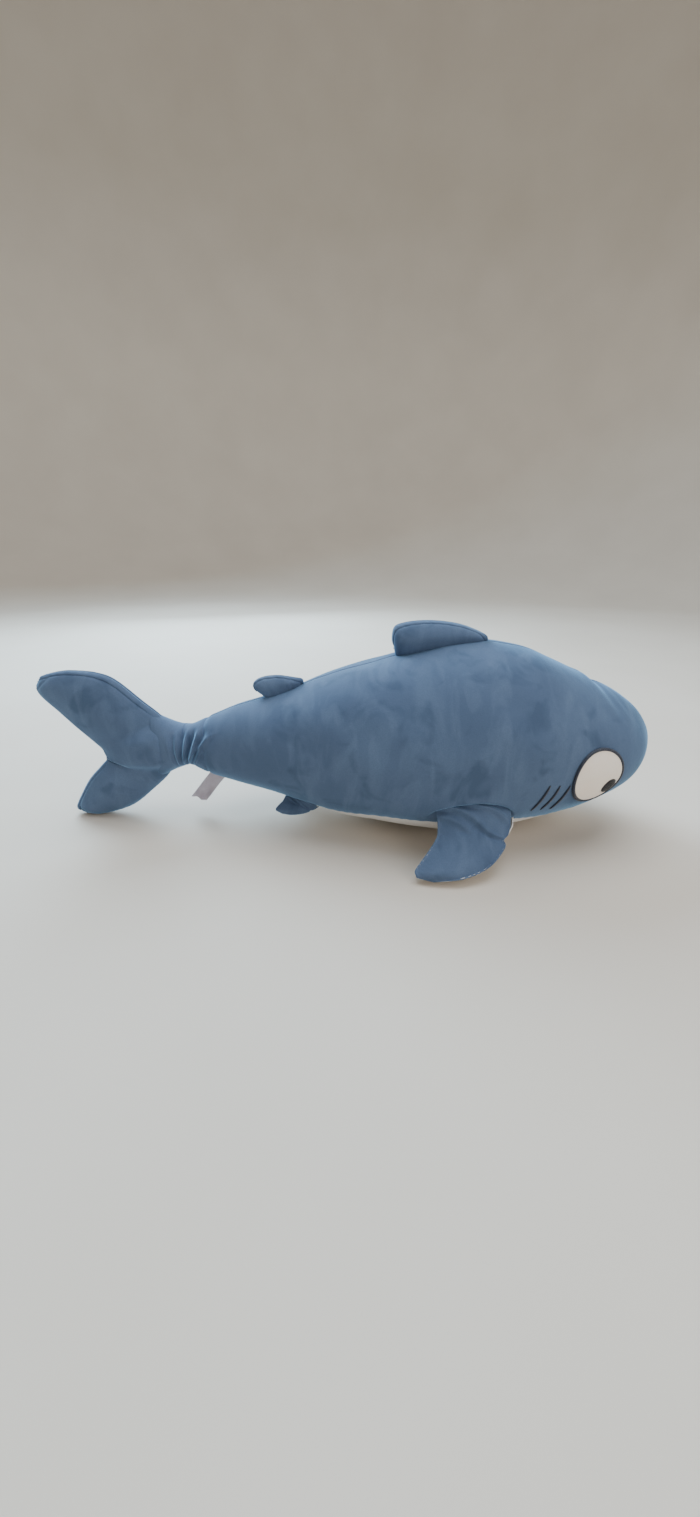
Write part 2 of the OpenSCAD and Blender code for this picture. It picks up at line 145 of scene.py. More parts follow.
def normals(grid, wrap=False):
    """The normal at each point of a grid; wrap joins the last column to the first."""
    along = np.gradient(grid, axis=0)
    if wrap:
        across = (np.roll(grid, -1, axis=1) - np.roll(grid, 1, axis=1)) / 2
    else:
        across = np.gradient(grid, axis=1)
    return unit(np.cross(along, across))


def even(q, points, count):
    """count values of q, evenly spaced along the polyline through points."""
    steps = np.linalg.norm(np.diff(points, axis=0), axis=1)
    along = np.concatenate([[0], np.cumsum(steps)])
    return np.interp(np.linspace(0, along[-1], count), along, q)


# ---------------------------------------------------------------- meshes


def quads(rows, cols, wrap=False):
    """The faces of a grid, as corner numbers."""
    i, j = np.meshgrid(np.arange(rows - 1), np.arange(cols if wrap else cols - 1), indexing="ij")
    a = i * cols + j
    b = i * cols + (j + 1) % cols
    return np.stack([a, b, b + cols, a + cols], axis=-1).reshape(-1, 4)


def make_mesh(name, points, faces, material):
    """A smooth-shaded object in the scene, with no point under the floor."""
    points = np.maximum(points, [-np.inf, -np.inf, 0])
    mesh = bpy.data.meshes.new(name)
    mesh.from_pydata(points.tolist(), [], [list(map(int, face)) for face in faces])
    mesh.polygons.foreach_set("use_smooth", [True] * len(mesh.polygons))
    mesh.materials.append(material)
    mesh.update()
    piece = bpy.data.objects.new(name, mesh)
    bpy.context.scene.collection.objects.link(piece)
    return piece


def sheet_mesh(name, outer, material, thickness=FABRIC, wrap=False, mirrored=False):
    """A closed sheet of fabric whose outer side is a grid with outward normals."""
    thickness = np.broadcast_to(thickness, outer.shape[:2])[..., None]
    inner = outer - normals(outer, wrap) * thickness
    rows, cols = outer.shape[:2]
    count = rows * cols
    top = quads(rows, cols, wrap)[:, ::-1]
    under = quads(rows, cols, wrap) + count
    ring = np.arange(count).reshape(rows, cols)
    rims = [(ring[0], 1), (ring[-1], -1)]
    if not wrap:
        rims += [(ring[:, 0], -1), (ring[:, -1], 1)]
    sides = []
    for line, turn in rims:
        line = np.append(line, line[0]) if wrap else line
        a, b = (line[:-1], line[1:]) if turn > 0 else (line[1:], line[:-1])
        sides.append(np.stack([a, b, b + count, a + count], axis=-1))
    faces = np.vstack([top, under, *sides])
    points = np.vstack([outer.reshape(-1, 3), inner.reshape(-1, 3)])
    if mirrored:
        points = points * [1, -1, 1]
        faces = faces[:, ::-1]
    return make_mesh(name, points, faces, material)


def solid_mesh(name, rings, material, mirrored=False):
    """A closed solid through rings that go round it, with a fan over each end."""
    rows, cols = rings.shape[:2]
    count = rows * cols
    faces = quads(rows, cols, True)[:, ::-1].tolist()
    for first, centre, turn in ((0, count, 1), (count - cols, count + 1, -1)):
        for j in range(cols):
            faces.append([first + j, first + (j + 1) % cols, centre][::turn])
    points = np.vstack([rings.reshape(-1, 3), rings[0].mean(axis=0), rings[-1].mean(axis=0)])
    if mirrored:
        points = points * [1, -1, 1]
        faces = [face[::-1] for face in faces]
    return make_mesh(name, points, faces, material)


# ---------------------------------------------------------------- materials


class Nodes:
    """A material's node tree, with short calls for what these materials need."""

    def __init__(self, name):
        self.material = bpy.data.materials.new(name)
        self.material.use_nodes = True
        self.tree = self.material.node_tree
        self.shader = self.tree.nodes["Principled BSDF"]
        self.place = self.node("ShaderNodeTexCoord").outputs["Object"]

    def node(self, kind, **values):
        made = self.tree.nodes.new(kind)
        for key, value in values.items():
            setattr(made, key, value)
        return made

    def link(self, source, target):
        self.tree.links.new(source, target)

    def noise(self, scale, detail=2.0, rough=0.5, stretch=None, distort=0.0):
        made = self.node("ShaderNodeTexNoise")
        made.inputs["Scale"].default_value = scale
        made.inputs["Detail"].default_value = detail
        made.inputs["Roughness"].default_value = rough
        made.inputs["Distortion"].default_value = distort
        place = self.place
        if stretch:
            mapping = self.node("ShaderNodeMapping")
            mapping.inputs["Scale"].default_value = stretch
            self.link(place, mapping.inputs["Vector"])
            place = mapping.outputs["Vector"]
        self.link(place, made.inputs["Vector"])
        return made.outputs["Fac"]

    def spread(self, source, low, high, to_low=0.0, to_high=1.0):
        made = self.node("ShaderNodeMapRange")
        for key, value in zip(("From Min", "From Max", "To Min", "To Max"), (low, high, to_low, to_high)):
            made.inputs[key].default_value = value
        self.link(source, made.inputs["Value"])
        return made.outputs["Result"]

    def math(self, operation, first, second):
        made = self.node("ShaderNodeMath", operation=operation)
        for index, value in enumerate((first, second)):
            if isinstance(value, (int, float)):
                made.inputs[index].default_value = value
            else:
                self.link(value, made.inputs[index])
        return made.outputs[0]

    def mix(self, factor, first, second, blend="MIX"):
        made = self.node("ShaderNodeMix", data_type="RGBA", blend_type=blend)
        if isinstance(factor, (int, float)):
            made.inputs[0].default_value = factor
        else:
            self.link(factor, made.inputs[0])
        for index, value in ((6, first), (7, second)):
            if isinstance(value, tuple):
                made.inputs[index].default_value = (*value, 1)
            else:
                self.link(value, made.inputs[index])
        return made.outputs[2]

    def bump(self, height, strength, distance, under=None):
        made = self.node("ShaderNodeBump")
        made.inputs["Strength"].default_value = strength
        made.inputs["Distance"].default_value = distance
        self.link(height, made.inputs["Height"])
        if under:
            self.link(under, made.inputs["Normal"])
        return made.outputs["Normal"]

    def finish(self, color=None, normal=None, roughness=None, **sockets):
        if color is not None:
            self.link(color, self.shader.inputs["Base Color"])
        if normal is not None:
            self.link(normal, self.shader.inputs["Normal"])
        if roughness is not None:
            self.link(roughness, self.shader.inputs["Roughness"])
        for key, value in sockets.items():
            self.shader.inputs[key.replace("_", " ")].default_value = value
        return self.material


def velour(name, base, light, dark, sheen, tint):
    """Short brushed pile: patches and strokes where it lies another way, fine fuzz, and a sheen."""
    n = Nodes(name)
    patches = n.spread(n.noise(7, 3, 0.55, distort=0.7), 0.40, 0.62)
    spots = n.spread(n.noise(24, 2.5, 0.6, distort=0.6), 0.53, 0.66)
    strokes = n.spread(n.noise(38, 3, 0.55, stretch=(1.0, 0.42, 0.34), distort=1.1), 0.46, 0.70)
    fuzz = n.noise(750, 2, 0.6)
    color = n.mix(n.math("MULTIPLY", patches, 0.48), base, light)
    color = n.mix(n.math("MULTIPLY", spots, 0.55), color, dark)
    color = n.mix(n.math("MULTIPLY", strokes, 0.52), color, light)
    color = n.mix(n.spread(fuzz, 0.3, 0.75, 0.0, 0.32), color, dark)
    soft = n.bump(n.noise(55, 3, 0.55, stretch=(1.2, 0.8, 0.6)), 0.28, 1.3 * MM)
    pile = n.bump(fuzz, 0.50, 0.35 * MM, under=soft)
    rough = n.spread(patches, 0, 1, 0.80, 0.92)
    return n.finish(
        color, pile, rough,
        Sheen_Weight=sheen, Sheen_Roughness=0.34, Sheen_Tint=(*tint, 1), Specular_IOR_Level=0.15,
    )


def thread(name, base, dark):
    """Satin stitch: tight glossy thread with a fine twist."""
    n = Nodes(name)
    twist = n.noise(1400, 2, 0.5)
    color = n.mix(n.spread(twist, 0.3, 0.7), base, dark)
    normal = n.bump(twist, 0.35, 0.2 * MM)
    return n.finish(color, normal, Roughness=0.42, Sheen_Weight=0.15, Specular_IOR_Level=0.45)


def felt(name, base, light):
    """The smooth short-haired cloth of the eyes."""
    n = Nodes(name)
    cloud = n.spread(n.noise(40, 4, 0.6), 0.35, 0.65)
    hair = n.noise(1100, 3, 0.6)
    color = n.mix(n.math("MULTIPLY", cloud, 0.5), base, light)
    normal = n.bump(hair, 0.3, 0.25 * MM)
    return n.finish(color, normal, Roughness=0.85, Sheen_Weight=0.35, Sheen_Roughness=0.4)


def fill_material(name):
    """Loose white fibre."""
    n = Nodes(name)
    curls = n.noise(160, 6, 0.7, distort=1.5)
    color = n.mix(n.spread(curls, 0.3, 0.7), (0.93, 0.93, 0.92), (0.80, 0.80, 0.80))
    return n.finish(color, n.bump(curls, 0.8, 2 * MM), Roughness=0.95)


def ribbon(name):
    """Thin woven satin that lets some light through."""
    n = Nodes(name)
    weave = n.noise(900, 1, 0.4, stretch=(3.0, 1.0, 0.6))
    color = n.mix(n.spread(weave, 0.3, 0.7), (0.66, 0.60, 0.68), (0.52, 0.47, 0.56))
    normal = n.bump(weave, 0.25, 0.2 * MM)
    return n.finish(color, normal, Roughness=0.45, Alpha=0.72, Sheen_Weight=0.2)


BLUE = velour("blue_velour", (0.084, 0.124, 0.212), (0.132, 0.190, 0.302), (0.050, 0.079, 0.142), 1.0,
              (0.34, 0.64, 1.0))
WHITE = velour("white_velour", (0.80, 0.77, 0.74), (0.86, 0.84, 0.82), (0.68, 0.65, 0.63), 0.35,
               (1.0, 0.98, 0.96))
EYE = felt("eye_felt", (0.98, 0.87, 0.77), (0.99, 0.93, 0.86))
NAVY = thread("navy_thread", (0.022, 0.030, 0.058), (0.011, 0.015, 0.030))
BLACK = thread("black_thread", (0.010, 0.011, 0.018), (0.004, 0.004, 0.008))
FILL = fill_material("fibre_fill")
RIBBON = ribbon("label_ribbon")


# ---------------------------------------------------------------- the body's skin

# Stations from the rear of the body to the nose, as in the CAD: the place along the body and the
# height of the top point and of the bottom point, the half width, and the angle of the belly seam.
STATIONS = [
    (0.000, 0.580, 0.000, 0.275, 0.28, -88),
    (0.092, 0.660, 0.092, 0.208, 0.44, -82),
    (0.199, 0.753, 0.199, 0.138, 0.62, -66),
    (0.323, 0.855, 0.323, 0.060, 0.80, -51),
    (0.454, 0.943, 0.454, 0.004, 0.94, -42),
    (0.577, 0.994, 0.577, -0.018, 1.00, -40),
    (0.683, 0.978, 0.674, 0.003, 0.97, -43),
    (0.763, 0.906, 0.752, 0.048, 0.88, -54),
    (0.850, 0.806, 0.832, 0.100, 0.77, -66),
    (0.922, 0.728, 0.897, 0.165, 0.63, -74),
    (0.970, 0.640, 0.952, 0.280, 0.42, -80),
    (1.000, 0.485, 1.000, 0.485, 0.00, -86),
]
NOSE_ROW = len(STATIONS) - 1
BODY_HEIGHT = BACK_TOP / highest(STATIONS, 1)


def body_rows():
    rows = np.array(STATIONS, float)
    lift = PIVOT[2] - BODY_HEIGHT * (rows[0, 1] + rows[0, 3]) / 2
    lifts = lift * (1 - ramp(rows[:, 0], 0, rows[3, 0]))
    rows[:, 0] = REAR_X + rows[:, 0] * TORSO_LENGTH
    rows[:, 2] = REAR_X + rows[:, 2] * TORSO_LENGTH
    rows[:, 1] = rows[:, 1] * BODY_HEIGHT + lifts
    rows[:, 3] = rows[:, 3] * BODY_HEIGHT + lifts
    rows[:, 4] *= HALF_WIDTH
    return rows


BODY = body_rows()
PAST_NOSE = BODY[-2][[2, 3, 0, 1, 4, 5]] * [1, 1, 1, 1, -1, 1]


def section(q):
    """The body's section at stations q, with the columns of STATIONS in metres and degrees."""
    return spline(BODY, q, 2 * BODY[0] - BODY[1], PAST_NOSE)


def seam_angle(q):
    """Where the belly seam runs, which closes to the lowest line at both ends of the belly."""
    angle = np.clip(section(q)[..., 5], -89, -30)
    closing = np.maximum(ramp(q, 10.1, 10.75), 1 - ramp(q, 0.1, 0.6))
    return angle * (1 - closing) - 90 * closing


def skin(q, angle, rise=0.0):
    """Points of the right side's skin at stations q and at angles from the side, in degrees."""
    q, angle, rise = np.broadcast_arrays(np.asarray(q, float), angle, rise)
    s = section(q)
    half = np.stack([s[..., 0] - s[..., 2], s[..., 1] - s[..., 3]], axis=-1) / 2
    size = np.maximum(np.linalg.norm(half, axis=-1), 1e-6)
    keep = np.maximum(size + rise, 0.4 * size) / size
    width = np.maximum(s[..., 4] + rise, 0.4 * s[..., 4])
    turn = np.radians(angle)
    x = (s[..., 0] + s[..., 2]) / 2 + rise * ramp(q, NOSE_ROW - 2, NOSE_ROW)
    return np.stack(
        [
            x + half[..., 0] * keep * np.sin(turn),
            -width * np.cos(turn),
            (s[..., 1] + s[..., 3]) / 2 + half[..., 1] * keep * np.sin(turn),
        ],
        axis=-1,
    )


def station_at(x):
    """The station whose section is centred at a place along the body."""
    q = np.linspace(0, NOSE_ROW, 2000)
    s = section(q)
    return float(np.interp(x, (s[:, 0] + s[:, 2]) / 2, q))


def per_station(q, angle):
    """Metres along the skin for one station."""
    return np.linalg.norm(skin(q + 0.05, angle) - skin(q - 0.05, angle), axis=-1) / 0.1


def per_degree(q, angle):
    """Metres round the skin for one degree."""
    return np.linalg.norm(skin(q, angle + 1) - skin(q, angle - 1), axis=-1) / 2


# ---------------------------------------------------------------- folds that all pieces share


# The gathers of the neck fan out from a pinch under it. Each has its place in the fan, its depth,
# and how far up it fades out, as a share of the height of the fan.
GATHERS = [(-2, 3.0, 1.10), (-1, 3.8, 1.15), (0, 6.2, 1.20), (1, 4.2, 1.30), (2.1, 1.2, 1.20)]
FAN_LOW = -13 * MM
FAN_HEIGHT = 36 * MM


def neck_folds(points):
    """Moves points in and out from the neck's axis, so that the fabric there lies in gathers."""
    offset = points[..., 1:] - PIVOT[1:]
    distance = np.maximum(np.linalg.norm(offset, axis=-1), 1e-6)
    height = (offset[..., 1] - FAN_LOW) / FAN_HEIGHT
    low = np.clip(height, -0.1, 1.2)
    left = ramp(offset[..., 0], -8 * MM, 8 * MM)
    x = points[..., 0] - PIVOT[0] - 4.8 * MM - 10.1 * MM * low
    place = x / (7.5 * MM + 6.1 * MM * low) + left * 0.45
    move = np.zeros(distance.shape)
    for where, depth, fade in GATHERS:
        share = (1 - ramp(height, fade - 0.35, fade)) * ramp(height, -0.45, 0.25)
        side = 1 - 0.35 * left * math.cos(where * 2.2)
        off = place - where
        valley = bell(off, 0.30)
        crests = 0.30 * (bell(off - 0.52, 0.24) + bell(off + 0.52, 0.24))
        move -= depth * MM * side * share * (valley - crests)
    ridge = points[..., 0] - PIVOT[0] - 6.5 * MM - 33 * MM * np.clip(low, 0, 1.2) ** 1.25
    move += 2.6 * MM * bell(ridge, 3.2 * MM) * (1 - ramp(height, 0.9, 1.25)) * ramp(height, -0.2, 0.2)
    pinch = bell(points[..., 0] - PIVOT[0] - 4 * MM, 9 * MM) * (1 - ramp(height, -0.35, 0.2))
    move -= 2.2 * MM * pinch
    near = 1 - ramp(distance, 1.6 * NECK_RADIUS, 2.4 * NECK_RADIUS)
    moved = points.copy()
    moved[..., 1:] += offset / distance[..., None] * (move * near)[..., None]
    return moved


# Where the fins on the sides are sewn in: a share of the torso's length, the root's length, how far
# its middle arches up the body in degrees, and the depth of the groove round it.
PECTORAL_ROOT = (0.586, 90 * MM, 13, 4.2 * MM)
PELVIC_ROOT = (0.221, 44 * MM, 4, 1.6 * MM)
SIDE_ROOTS = [PECTORAL_ROOT, PELVIC_ROOT]
ROOT_ABOVE = 6


def body_relief(q, angle, points):
    """How far the torso's fabric stands out or in: seams, puckers, lumps of fill and creases."""
    x = points[..., 0]
    seam_away = np.abs(angle - seam_angle(q)) * per_degree(q, angle)
    top_away = np.abs(90 - angle) * per_degree(q, angle)
    along_seam = x * 2 * math.pi
    relief = -2.2 * MM * bell(seam_away, 3.2 * MM) - 0.9 * MM * bell(seam_away, 12 * MM)
    relief -= 0.7 * MM * bell(top_away, 2.4 * MM)
    pucker = np.sin(along_seam / 0.013 + 1.3 * np.sin(along_seam / 0.071))
    relief += 0.45 * MM * pucker * np.exp(-seam_away / (9 * MM))
    relief += 1.3 * MM * waves(points, 0.150, 5) + 0.5 * MM * waves(points, 0.055, 8)
    relief += snout_crease(x, angle)
    relief -= 3.5 * MM * bell(q - 8.6, 0.9) * bell(angle + 46, 16)
    relief -= 2.4 * MM * (1 - ramp(q, 0.0, 0.16))
    for fin in SIDE_ROOTS:
        relief -= root_groove(q, angle, *fin)
    return relief


def root_arch(q, share, root, lift):
    """The angle at which a side fin's fabric meets the body, and the place along its root."""
    centre = station_at(REAR_X + share * TORSO_LENGTH)
    along = (q - centre) * per_station(centre, seam_angle(centre)) / root
    arch = np.sqrt(np.clip(1 - (along / 0.56) ** 2, 0, 1))
    return seam_angle(q) + ROOT_ABOVE + lift * arch, along


def root_groove(q, angle, share, root, lift, depth):
    """The groove in the body where a side fin is sewn in, and the soft swell above it."""
    line, along = root_arch(q, share, root, lift)
    away = (angle - line) * per_degree(q, angle)
    fade = 1 - ramp(np.abs(along), 0.45, 0.62)
    above = 0.35 * depth * bell(away - 9 * MM, 6 * MM)
    return (depth * bell(away, 3.6 * MM) - above) * fade


def snout_crease(x, angle):
    """Soft pinched folds that start on top of the snout and run forwards and down each side."""
    from_top = (90 - angle) / 60
    valley = NOSE_X - 92 * MM + 34 * MM * np.sqrt(from_top**2 + 0.05)
    fade = (1 - ramp(from_top, 0.15, 0.95)) * (0.75 + 0.25 * np.cos(from_top * 9))
    ridge = 1.7 * MM * bell(x - valley + 11 * MM, 9 * MM)
    dip = 2.3 * MM * bell(x - valley - 2 * MM, 7 * MM)
    second = 0.9 * MM * bell(x - valley - 19 * MM, 5 * MM) * ramp(from_top, 0.05, 0.3)
    return (ridge - dip - second) * fade


def surface(q, angle, rise=0.0):
    """The finished skin, or what lies a rise above it: relief, nothing under the floor, the folds."""
    base = skin(q, angle)
    ways = unit(base - skin(q, angle, -4 * MM))
    points = base + ways * (body_relief(q, angle, base) + rise)[..., None]
    points[..., 2] = np.maximum(points[..., 2], 0)
    return neck_folds(points)


BODY_RINGS = 230
BACK_COLUMNS = 110
BELLY_COLUMNS = 64


def body_stations(first, last, count):
    q = np.linspace(first, last, 1200)
    return even(q, skin(q, np.zeros_like(q)) + skin(q, np.full_like(q, 60)), count)


def body_panels():
    q = body_stations(0, NOSE_ROW - 0.004, BODY_RINGS)[:, None]
    share = np.linspace(0, 1, BACK_COLUMNS)[None, :]
    angle = seam_angle(q) + (90 - seam_angle(q)) * share
    outer = surface(q, angle)
    outer[:, -1, 1] = 0
    for side, mirrored in MIRRORED:
        panel = sheet_mesh(f"back_cloth_{side}", outer, BLUE, mirrored=mirrored)
        dress(panel, "blue_velour", "torso", f"back_panel_{side}")
    q = body_stations(0.13, 10.72, BODY_RINGS)[:, None]
    share = np.linspace(0, 1, BELLY_COLUMNS // 2)[None, :]
    angle = -90 + (seam_angle(q) + 90) * share
    right = surface(q, angle)
    right[:, 0, 1] = 0
    left = right[:, :0:-1] * [1, -1, 1]
    belly = sheet_mesh("belly_cloth", np.concatenate([left, right], axis=1), WHITE)
    dress(belly, "white_velour", "torso", "belly_panel")


def dress(piece, slot, body, *nodes):
    """Hides the CAD nodes that the piece stands for and hangs the piece on the body it rides on; the slot is
    not used.
    """
    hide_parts(*nodes)
    if body:
        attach(piece, body)
    return piece


def body_fill():
    q = body_stations(0.22, NOSE_ROW - 0.12, 90)[:, None]
    angle = np.linspace(-90, 270, 72, endpoint=False)[None, :]
    rings = neck_folds(skin(q, angle, -8 * MM))
    rings[..., 2] = np.maximum(rings[..., 2], 2.5 * MM)
    fill = solid_mesh("body_fill", rings, FILL)
    dress(fill, "fibre_fill", "torso", "body_stuffing")


body_panels()
body_fill()


# ---------------------------------------------------------------- eyes and gills


EYE_AT = (7.94, -6)
EYE_TILT = 95
EYE_RADII = (36.5 * MM, 33.6 * MM)
EYE_RIM = 3 * MM
PUPIL_SHIFT = (16.4 * MM, -11.7 * MM)
PUPIL_RADII = (9 * MM, 6.3 * MM)
PUPIL_TILT = 60
STITCH_PITCH = 0.75 * MM


def beside(at, forward, up):
    """The station and angle of a point a given way forwards and upwards of another on the skin."""
    return at[0] + forward / per_station(*at), at[1] + up / per_degree(*at)


def oval(at, radii, tilt, share, turn):
    """Stations and angles of an oval on the skin, at shares of its radii and at turns round it."""
    a = radii[0] * share * np.cos(turn)
    b = -radii[1] * share * np.sin(turn)
    lean = math.radians(tilt)
    return beside(at, a * math.cos(lean) - b * math.sin(lean), a * math.sin(lean) + b * math.cos(lean))


def embroidered(name, at, radii, tilt, rise, material):
    """An oval filled with satin stitches that all run the same way."""
    turn = np.linspace(0, 2 * math.pi, 144, endpoint=False)[None, :]
    share = np.linspace(0.001, 1, 26)[:, None]
    q, angle = oval(at, radii, tilt, share, turn)
    ridges = 0.13 * MM * np.cos(2 * math.pi * radii[0] * share * np.cos(turn) / STITCH_PITCH)
    dome = rise + 0.9 * MM * np.sqrt(np.clip(1 - share**4, 0, 1)) + ridges * (1 - share**6)
    return sheet_pair(name, surface(q, angle, dome), material, 0.95 * rise, wrap=True)


def sheet_pair(name, outer, material, thickness, wrap=False):
    """The same small piece on the right side and, mirrored, on the left."""
    return [
        sheet_mesh(f"{name}_{side}_trim", outer, material, thickness, wrap, mirrored)
        for side, mirrored in MIRRORED
    ]


def eyes():
    turn = np.linspace(0, 2 * math.pi, 200, endpoint=False)[None, :]
    share = np.linspace(0.002, 1 - 0.6 * EYE_RIM / EYE_RADII[0], 44)[:, None]
    q, angle = oval(EYE_AT, EYE_RADII, EYE_TILT, share, turn)
    plump = 0.5 * MM + 1.6 * MM * (1 - share**2) * np.ones_like(turn)
    for piece, side in zip(sheet_pair("eye_white", surface(q, angle, plump), EYE, MM, True), SIDES):
        dress(piece, "eye_patch", "torso", f"eye_white_{side}")

    turn = np.linspace(0, 2 * math.pi, 1200, endpoint=False)[None, :]
    across = np.linspace(-1, 1, 11)[:, None]
    wide = EYE_RIM / 2 * (1 + 0.18 * np.cos(turn - 2.6))
    share = 1 + (across * wide - EYE_RIM / 2) / EYE_RADII[0]
    q, angle = oval(EYE_AT, EYE_RADII, EYE_TILT, share, turn)
    stitches = round(math.pi * sum(EYE_RADII) / STITCH_PITCH)
    ridges = 0.16 * MM * np.cos(stitches * turn + 0.9 * across)
    rise = 0.3 * MM + (1.7 * MM + ridges) * np.sqrt(np.clip(1 - across**2, 0, 1))
    for piece, side in zip(sheet_pair("eye_rim", surface(q, angle, rise), NAVY, 0.8 * MM, True), SIDES):
        dress(piece, "navy_thread", "torso", f"eye_rim_{side}")

    at = beside(EYE_AT, *PUPIL_SHIFT)
    for piece, side in zip(embroidered("pupil", at, PUPIL_RADII, PUPIL_TILT, 1.9 * MM, BLACK), SIDES):
        dress(piece, "black_thread", "torso", f"pupil_{side}")


GILL_AT = (6.46, -20)
GILL_STEP = (0.3, -1.3)
GILL_LEAN = 75
GILL_LENGTH = 44 * MM
GILL_WIDTH = 2 * MM


def gill(at):
    """One line of satin stitches, slightly bowed and drawn to a point at each end."""
    t = np.linspace(-0.5, 0.5, 220)[:, None]
    across = np.linspace(-1, 1, 9)[None, :]
    lean = math.radians(GILL_LEAN)
    taper = np.clip(1 - np.abs(2 * t) ** 5, 0.03, 1)
    side = across * GILL_WIDTH / 2 * taper + 0.5 * MM * (4 * t**2 - 0.5)
    way = GILL_LENGTH * t
    q, angle = beside(at, way * math.cos(lean) - side * math.sin(lean),
                      way * math.sin(lean) + side * math.cos(lean))
    ridges = 0.12 * MM * np.cos(2 * math.pi * way / STITCH_PITCH + 0.8 * across)
    rise = 0.25 * MM + (0.8 * MM + ridges) * np.sqrt(np.clip(1 - across**2, 0, 1)) * taper
    return surface(q, angle, rise)[:, ::-1]


def gills():
    lines = [gill((GILL_AT[0] + k * GILL_STEP[0], GILL_AT[1] + k * GILL_STEP[1])) for k in range(3)]
    for side, mirrored in MIRRORED:
        for k, line in enumerate(lines):
            piece = sheet_mesh(f"gill_{side}_{k + 1}", line, NAVY, 0.7 * MM, mirrored=mirrored)
            dress(piece, "navy_thread", "torso", f"gill_stitches_{side}")


eyes()
gills()


# ---------------------------------------------------------------- stuffed fins

# As in the CAD, a row has a point of one edge and of the other, in the fin's own plane, and then
# the half thickness between them. The sixth number is the half thickness at the first edge.
SEAM_EDGE = 0.8 * MM
MIDDLE_PLANE = np.array([[0, 0, 0], [1, 0, 0], [0, 0, 1], [0, -1, 0]], float)


def fin_grid(rows, place, side, rings=150, columns=84, inset=0.0, reach=(0.0, 1.0)):
    """Points of one side of a fin, its stations along the rows and its shares across them."""
    rows = np.array([list(row) + [0.0] * (6 - len(row)) for row in rows], float)
    q = np.linspace(0, len(rows) - 1, 1500)
    line = open_spline(rows, q)
    q = even(q, (line[:, 0:2] + line[:, 2:4]) / 2, rings)
    first, last = reach
    q = q[(q >= first * (len(rows) - 1)) & (q <= last * (len(rows) - 1))][:, None]
    t = np.linspace(0.0, 1.0, columns)[None, :]
    u = (1 - np.cos(math.pi * t)) / 2
    u = inset + (1 - 2 * inset) * (0.6 * u + 0.4 * t)
    row = open_spline(rows, q[:, 0])[:, None, :]
    bulge = np.maximum(row[..., 4], 0.5 * MM) * np.sin(math.pi * u) ** 0.6
    ends = np.clip(np.minimum(q, len(rows) - 1 - q) / 0.3, 0, 1) ** 0.5
    closed = np.clip(np.minimum(u, 1 - u) * 30, 0, 1) ** 0.5
    half = (SEAM_EDGE * closed + bulge) * ends + np.maximum(row[..., 5], 0) * (1 - u)
    a = row[..., 0] * (1 - u) + row[..., 2] * u
    b = row[..., 1] * (1 - u) + row[..., 3] * u
    points = (place[0] + a[..., None] * place[1] + b[..., None] * place[2]
              + (side * half)[..., None] * place[3])
    return points, np.broadcast_to(q, a.shape), np.broadcast_to(u, a.shape)


def from_edges(points):
    """How far each point of a grid is from the first and from the last column, along its row."""
    steps = np.linalg.norm(np.diff(points, axis=1), axis=-1)
    along = np.concatenate([np.zeros((len(points), 1)), np.cumsum(steps, axis=1)], axis=1)
    return along, along[:, -1:] - along


def stuffed_relief(points, seed, lumps=0.9 * MM, pucker=0.45 * MM):
    """Lumps of fill under the fabric, and small puckers that run in from the seams."""
    first, last = from_edges(points)
    edge = np.minimum(first, last)
    rise = lumps * waves(points, 0.060, seed) * ramp(edge, 0, 14 * MM)
    path = points[..., 0] + points[..., 1] + points[..., 2]
    beat = np.sin(path * 2 * math.pi / 0.0105 + 1.7 * np.sin(path * 2 * math.pi / 0.047 + seed))
    return rise + pucker * beat * np.exp(-edge / (7 * MM)) * ramp(edge, 0, 3 * MM)


def groove(distance, at, depth, width=1.6 * MM, rim=0.0):
    """A sewn line at a distance from an edge, with a rolled rim between it and the edge."""
    line = -depth * bell(distance - at, width)
    roll = rim * np.sqrt(np.clip(1 - ((distance - at / 2) / (at / 2)) ** 2, 0, 1))
    return line + roll


def thin(points, place):
    """The fabric's thickness at each point of a fin: less where the fin itself is thinner."""
    half = np.abs((points - place[0]) @ place[3])
    return np.clip(0.8 * half, 0.12 * MM, FABRIC)


def fin_fill(name, body, slot_node, rows, place, inset=3.2 * MM, root=0.0, mirrored=False):
    """The stuffing: a closed body that keeps clear of the fabric, and of the body at its root."""
    rows = [[row[0] + (row[2] - row[0]) * root, row[1] + (row[3] - row[1]) * root, *row[2:]] for row in rows]
    shrunk = [list(row[:4]) + [max(row[4] - inset, 0.4 * MM)]
              + [max(value - inset, 0) for value in row[5:]] for row in rows]
    near, far = [fin_grid(shrunk, place, side, 60, 26, inset=0.13, reach=(0.08, 0.92))[0] for side in (1, -1)]
    rings = neck_folds(np.concatenate([near, far[:, ::-1]], axis=1))
    fill = solid_mesh(name, rings, FILL, mirrored)
    dress(fill, "fibre_fill", body, slot_node)


